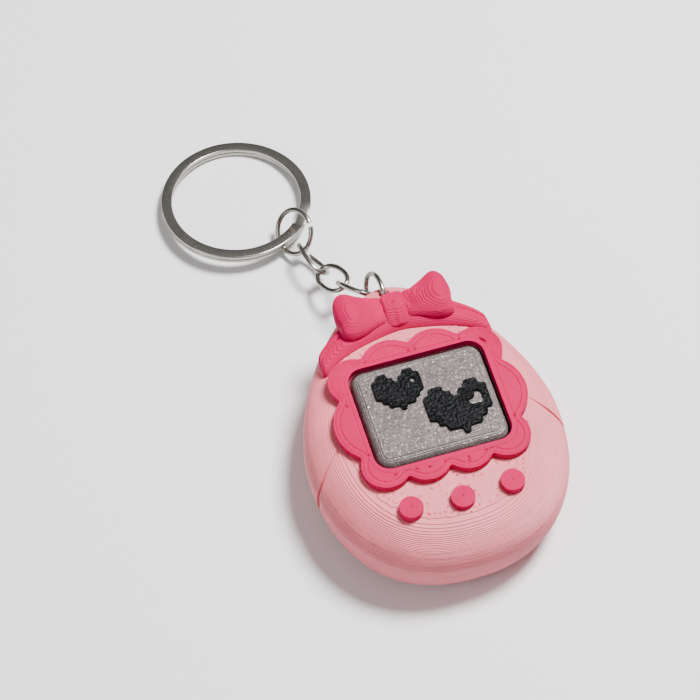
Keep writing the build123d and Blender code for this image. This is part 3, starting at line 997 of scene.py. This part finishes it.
def pillow(name, outline, centre, zc, rise, drop, power, columns, extra, seed):
    """Rounded printed form over a plan outline: terraces above, beads on its sides."""
    loop = resample(spline_loop(outline), count=columns)
    centre = np.asarray(centre, float)
    mesh = Mesh()
    rings = []
    # underside, from the middle outwards
    for s in np.concatenate([[0.02], np.linspace(0.2, 0.9, 6)]):
        z = zc - drop * (1 - s ** power) ** (1 / power)
        rings.append(at_height(centre + (loop - centre) * s, z))
    normal = outward(loop)
    # steep sides, row by row in each layer
    lower, upper = zc - drop * 0.75, zc + rise * 0.55
    z = math.floor(lower / LAYER) * LAYER
    while z < upper:
        for share, dz in ((1.0, 0.012), (0.0, 0.1), (1.0, 0.188)):
            mid = z + LAYER / 2
            level = (mid - zc) / (rise if mid > zc else drop)
            s = (1 - min(abs(level), 0.999) ** power) ** (1 / power)
            ring = centre + (loop - centre) * s - normal * 0.03 * share
            noise = 0.02 * wobble(at_height(ring, z * 5), 1.2, seed)
            rings.append(at_height(ring + normal * noise[:, None], z + dz))
        z += LAYER
    # top: smooth form, stepped
    s_start = (1 - min((z - zc) / rise, 0.999) ** power) ** (1 / power)
    for s in np.linspace(s_start, 0.0, 90, endpoint=False):
        high = zc + rise * (1 - s ** power) ** (1 / power)
        rings.append(at_height(centre + (loop - centre) * s, high))
    rings = np.array(rings)
    top = rings[:, :, 2] > upper - LAYER
    shift = extra(rings[..., :2].reshape(-1, 2)).reshape(rings.shape[:2])
    rings[:, :, 2] += shift * np.clip((rings[:, :, 2] - zc) / rise, 0, 1)
    rings[:, :, 2] = np.where(top, terrace(rings[:, :, 2]), rings[:, :, 2])
    index = mesh.rings(rings)
    mesh.fan(index[-1], [*centre, rings[-1, :, 2].mean()])
    mesh.fan(index[0], [*centre, rings[0, :, 2].mean()], flip=True)
    return mesh.build(name, TRIM, "case_body", [name], 80)


LOOP_PLAN = ((2.0, 27.3), (4.0, 27.9), (6.2, 28.9), (8.2, 30.0), (9.6, 30.0), (10.7, 28.8), (11.2, 27.0),
             (11.3, 25.0), (10.95, 23.2), (11.0, 21.7), (10.5, 20.5), (9.2, 20.0), (7.5, 20.2), (5.8, 20.8),
             (4.0, 21.6), (2.2, 22.3), (1.5, 24.7))
LOOP_RIDGE = 8.1


def loop_extra(side):
    """Slope of a bow loop's top towards the knot, with a hollow beside it and ripples behind."""
    def shift(p):
        x, y = side * p[:, 0], p[:, 1]
        run = LOOP_RIDGE - x
        slope = 0.27 * (np.sqrt(run ** 2 + 0.8) + run - 0.9) / 2
        hollow = 0.42 * np.exp(-((x - 3.1) / 0.75) ** 2 - ((y - 24.4) / 0.8) ** 2)
        behind = np.exp(-((x - 4.6) / 1.8) ** 2 - ((y - 26.6) / 1.3) ** 2)
        ripple = 0.10 * np.sin(4.2 * x - 2.5 * y) * behind
        return -slope - hollow + ripple
    return shift


for name, side in (("bow_loop_left", -1), ("bow_loop_right", 1)):
    plan = np.array(LOOP_PLAN) * [side, 1]
    if side < 0:
        plan[:, 0] -= 0.25 * (plan[:, 0] < -5)
    else:
        plan = plan[::-1]
        plan[:, 0] -= 0.1
    pillow(name, plan, (side * LOOP_RIDGE, 25.0), 20.5, 2.7, 5.0, 2.2, 360, loop_extra(side), 61 + side)


def knot_extra(p):
    """Fall of the knot's top towards its front, in uneven steps, with a small gap in its skin."""
    x, y = p[:, 0], p[:, 1]
    front = np.clip((24.5 - y) / 3, 0, 1)
    wave = 0.16 * np.sin(1.9 * x + 0.5) * front + 0.05 * np.sin(5 * x + 1) * front
    pit = np.exp(-((x + 0.3) / 0.3) ** 2 - ((y - 25.3) / 0.2) ** 2)
    return -1.0 * front ** 1.2 + wave - 0.45 * pit


KNOT_PLAN = ((2.25, 27.0), (1.4, 27.8), (-1.2, 27.8), (-2.3, 27.0), (-2.3, 24.5), (-2.2, 22.0),
             (-1.6, 21.1), (0, 20.9), (1.6, 21.1), (2.2, 22.0), (2.3, 24.5))
pillow("bow_knot", KNOT_PLAN, (0, 24.6), 18.6, 3.3, 3.0, 6.0, 260, knot_extra, 71)

BAND_INNER = ((0.0, 20.6), (5.0, 19.9), (9.0, 18.9), (13.0, 17.5), (15.4, 15.9), (16.8, 14.7))
BAND_OUTER = ((0.0, 26.4), (5.0, 26.0), (10.0, 24.8), (13.6, 22.9), (15.8, 21.2), (16.9, 19.4))
BAND_FRONT_POWER, BAND_REAR_POWER = 2.1, 5.0
BAND_PROUD = 2.0


def through(points, count):
    """Evenly spaced points on a smooth open curve through plan points, mirrored about x = 0."""
    right = np.array(points, float)
    whole = np.vstack([(right[1:] * [-1, 1])[::-1], right])
    n = len(whole)
    t = np.linspace(0, n - 1, 2000)
    i = np.clip(t.astype(int), 0, n - 2)
    f = (t - i)[:, None]
    pad = np.vstack([2 * whole[0] - whole[1], whole, 2 * whole[-1] - whole[-2]])
    a, b, c, d = (pad[i + k] for k in range(4))
    p = blend_curve(a, b, c, d, f)
    run = np.concatenate([[0], np.cumsum(np.linalg.norm(np.diff(p, axis=0), axis=1))])
    s = np.linspace(0, run[-1], count)
    return np.column_stack([np.interp(s, run, p[:, k]) for k in range(2)])


def make_band():
    stations, across = 620, 110
    inner, outer = through(BAND_INNER, stations), through(BAND_OUTER, stations)
    along = np.linspace(-1, 1, stations)
    ends = np.clip((1 - np.abs(along)) / 0.09, 0, 1)
    ends = np.sqrt(1 - (1 - ends) ** 2)
    centre, half = (inner + outer) / 2, (outer - inner) / 2
    v = np.sin(np.linspace(-math.pi / 2, math.pi / 2, across))
    width = 0.08 + 0.92 * ends
    plan = centre[:, None] + half[:, None] * (v[None, :] * width[:, None])[..., None]
    power = np.where(v < 0, BAND_FRONT_POWER, BAND_REAR_POWER)
    crest = (1 - np.abs(v) ** power) ** (1 / power)
    crease = np.exp(-((v - 0.32) / 0.07) ** 2)[None, :] * np.clip((np.abs(along) - 0.45) / 0.2, 0, 1)[:, None]
    grow = (BAND_PROUD + 0.1) * crest[None, :] * ends[:, None] - 0.12 - 0.4 * crease * ends[:, None]
    flat = plan.reshape(-1, 2)
    top = egg_height(flat[:, 0], flat[:, 1], grow.reshape(-1))
    top = terrace(top).reshape(stations, across)
    low = egg_height(flat[:, 0], flat[:, 1], np.full(len(flat), -0.9)).reshape(stations, across)
    back = slice(None, None, 6)
    upper = np.dstack([plan, top])
    under = np.dstack([plan, np.minimum(low, top - 0.1)])[:, ::-1][:, back]
    rings = np.concatenate([upper, under], 1)
    mesh = Mesh()
    index = mesh.rings(rings, flip=True)
    mesh.fan(index[0], rings[0].mean(0))
    mesh.fan(index[-1], rings[-1].mean(0), flip=True)
    mesh.build("headband", TRIM, "case_body", ["headband"], 80)


make_band()

# ---- chain ---------------------------------------------------------------------------------------------
WIRE, SLACK = 1.0, 0.06
HOOKS = np.array([(-1.88, 34.80, 10.78), (-5.70, 39.82, 7.96), (-7.95, 45.68, 5.21), (-10.14, 52.59, 4.17)])
LINK_WIDTH = 4.9
LINK_ROUNDNESS = 2.3
LINK_AXES = np.array([(0.50, 0.76, 0.49), (-0.37, 0.21, 0.90), (0.78, 0.33, 0.53)])
LINK_TWIST = (15.0, 0.0, 30.0)
JUMP_RADIUS = 4.4
JUMP_AXIS = np.array([-0.76, -0.25, 0.62])
JUMP_PULL = np.array([-0.14, 1.01, 0.24])
JUMP_GAP = 12


def unit(v):
    return np.asarray(v, float) / np.linalg.norm(v)


def wire_piece(name, path, closed, body, radius=WIRE / 2, material=NICKEL):
    mesh = Mesh()
    rings = tube(path, radius, closed=closed, sides=24)
    if not closed:  # bevelled cut ends
        ends = []
        for ring, centre in ((rings[0], path[0]), (rings[-1], path[-1])):
            ends.append(centre + (ring - centre) * 0.86)
        step = (path[1] - path[0]) * 0.5
        first = ends[0] - unit(step) * 0.05
        last = ends[1] + unit(path[-1] - path[-2]) * 0.05
        rings = np.concatenate([first[None], rings, last[None]])
    index = mesh.rings(rings, closed=closed)
    if not closed:
        mesh.lid(index[0], flip=True)
        mesh.lid(index[-1])
    return mesh.build(name, material, body, [name], 40)


def link_path(start, finish, face, twist, count=200):
    along = unit(finish - start)
    face = unit(face - along * (face @ along))
    side = np.cross(face, along)
    reach = (np.linalg.norm(finish - start) + WIRE + 2 * SLACK) / 2
    a = np.linspace(0, 2 * math.pi, 400, endpoint=False)
    power = 2 / LINK_ROUNDNESS
    plan = np.column_stack([reach * np.abs(np.cos(a)) ** power * np.sign(np.cos(a)),
                            LINK_WIDTH / 2 * np.abs(np.sin(a)) ** power * np.sign(np.sin(a))])
    plan = resample(plan, count=count)
    middle = (start + finish) / 2
    turn = np.radians(twist) * plan[:, 0] / reach / 2
    lift = plan[:, 1] * np.sin(turn)
    wide = plan[:, 1] * np.cos(turn)
    return middle + plan[:, :1] * along + wide[:, None] * side + lift[:, None] * face


eye_path = circle_path(EYE_CENTRE, EYE_AXIS, EYE_RADIUS, 180, 35.9, 358.2)
wire_piece("eye_ring", eye_path, False, "eye_ring_body")
for i in range(3):
    path = link_path(HOOKS[i], HOOKS[i + 1], LINK_AXES[i], LINK_TWIST[i])
    wire_piece(f"chain_link_{i + 1}", path, True, f"link_{i + 1}_body")
jump_centre = HOOKS[3] + unit(JUMP_PULL) * (JUMP_RADIUS - WIRE / 2 - SLACK)
jump_path = circle_path(jump_centre, JUMP_AXIS, JUMP_RADIUS, 180, JUMP_GAP / 2, 360 - JUMP_GAP, (1, 0, 0))
wire_piece("jump_ring", jump_path, False, "jump_ring_body")

SPLIT_OUTER, SPLIT_BAND, SPLIT_LAYER = 15.0, 2.1, 0.9
SPLIT_CENTRE = np.array([-19.32, 68.20, 2.48])
SPLIT_AXIS = np.array([0.030, 0.100, 0.9945])
SPLIT_START, SPLIT_RAMP = -20.0, 24.0


def make_split_ring():
    """Flat wire wound in two turns that lie on each other, with a short ramp from one to the other."""
    axis = unit(SPLIT_AXIS)
    u = unit(np.array([1.0, 0, 0]) - axis * axis[0])
    v = np.cross(axis, u)
    total = 720 - SPLIT_RAMP
    a = np.arange(0, total + 0.01, 1.5)
    lift = np.clip((a - (360 - SPLIT_RAMP)) / SPLIT_RAMP, 0, 1)
    lift = SPLIT_LAYER * (lift * lift * (3 - 2 * lift) - 0.5)
    middle = SPLIT_OUTER - SPLIT_BAND / 2
    half_w, half_h, corner = SPLIT_BAND / 2 - 0.01, SPLIT_LAYER / 2 - 0.015, 0.2
    section = rounded_rect(2 * half_w, 2 * half_h, corner, corner=5)
    rings = []
    for angle, h in zip(np.radians(a + SPLIT_START), lift):
        r = u * math.cos(angle) + v * math.sin(angle)
        rings.append(SPLIT_CENTRE + r * middle + axis * h + section[:, :1] * r + section[:, 1:] * axis)
    rings = np.array(rings)
    for end, inner in ((0, 1), (-1, -2)):
        rings[end] = rings[end].mean(0) + (rings[end] - rings[end].mean(0)) * [0.9, 0.9, 0.8]
        rings[end] = rings[end] + unit(rings[end].mean(0) - rings[inner].mean(0)) * -0.2
    mesh = Mesh()
    index = mesh.rings(rings, flip=True)
    mesh.lid(index[0])
    mesh.lid(index[-1], flip=True)
    mesh.build("split_ring", NICKEL, "split_ring_body", ["split_ring"], 40)


make_split_ring()

# ---- switch spring -----------------------------------------------------------------------------------------
SPRING_RADIUS, SPRING_WIRE, SPRING_TURNS = 2.0, 0.35, 7
SPRING_LOW, SPRING_TOP = 5.75, 13.55


def make_spring():
    """Coil under the stem, at one fixed length."""
    share = np.linspace(0, 1, SPRING_TURNS * 40)
    turn = 2 * math.pi * SPRING_TURNS * share
    path = np.column_stack([SPRING_RADIUS * np.cos(turn), WINDOW_Y + SPRING_RADIUS * np.sin(turn),
                            SPRING_LOW + (SPRING_TOP - SPRING_LOW) * share])
    spring = wire_piece("switch_spring", path, False, "case_body", SPRING_WIRE / 2, STEEL)
    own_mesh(spring)


make_spring()

# ---- CAD nodes that keep their shape ----------------------------------------------------------------------
KEPT = {
    "switch_lower_housing": (DARK, "switch_plastic"),
    "switch_upper_housing": (DARK, "switch_plastic"),
    "switch_stem": (STEM, "switch_stem_plastic"),
    "switch_fixed_contact": (BRASS, "contact_metal"),
    "switch_moving_contact": (BRASS, "contact_metal"),
}
for name, (material, slot_name) in KEPT.items():
    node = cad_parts[name]
    node.data.materials.clear()
    node.data.materials.append(material)


# ---- floor and light ---------------------------------------------------------------------------------------
def make_floor():
    m = Nodes("floor")
    broad = m.noise(3, 2)
    m.set(Base_Color=m.ramp(broad, (0.3, (0.84, 0.84, 0.84, 1)), (0.7, (0.87, 0.87, 0.87, 1))), Roughness=0.8)
    mesh = bpy.data.meshes.new("floor")
    side = 3.0
    corners = [(-side, -side, 0), (side, -side, 0), (side, side, 0), (-side, side, 0)]
    mesh.from_pydata(corners, [], [(0, 1, 2, 3)])
    mesh.materials.append(m.material)
    obj = bpy.data.objects.new("floor", mesh)
    obj.location.z = -0.0001
    bpy.context.scene.collection.objects.link(obj)


def make_light(name, place_at, aim, size, power):
    data = bpy.data.lights.new(name, "AREA")
    data.shape = "DISK"
    data.size = size
    data.energy = power
    obj = bpy.data.objects.new(name, data)
    obj.location = place_at
    direction = Vector(aim) - Vector(place_at)
    obj.rotation_mode = "QUATERNION"
    obj.rotation_quaternion = direction.to_track_quat("-Z", "Y")
    bpy.context.scene.collection.objects.link(obj)


def make_world():
    """Soft studio surroundings: bright overhead, darker towards the horizon."""
    world = bpy.data.worlds.new("studio")
    bpy.context.scene.world = world
    world.use_nodes = True
    tree = world.node_tree
    coord = tree.nodes.new("ShaderNodeTexCoord")
    split = tree.nodes.new("ShaderNodeSeparateXYZ")
    ramp = tree.nodes.new("ShaderNodeValToRGB")
    for position, value in ((0.3, 0.12), (0.62, 0.5)):
        element = ramp.color_ramp.elements.new(position)
        element.color = (value, value, value, 1)
    for element, value in zip(ramp.color_ramp.elements, (0.06, 0.14, 0.45, 0.6)):
        element.color = (value, value, value, 1)
    tree.links.new(coord.outputs["Generated"], split.inputs[0])
    tree.links.new(split.outputs["Z"], ramp.inputs["Fac"])
    tree.links.new(ramp.outputs["Color"], tree.nodes["Background"].inputs["Color"])
    tree.nodes["Background"].inputs["Strength"].default_value = 0.58


make_floor()
make_world()
LIGHT_AIM = (0, 0.02, 0.01)
make_light("key", (0.24, 0.10, 0.63), LIGHT_AIM, size=0.20, power=12.0)
make_light("fill", (-0.5, -0.20, 0.45), LIGHT_AIM, size=0.4, power=1.4)
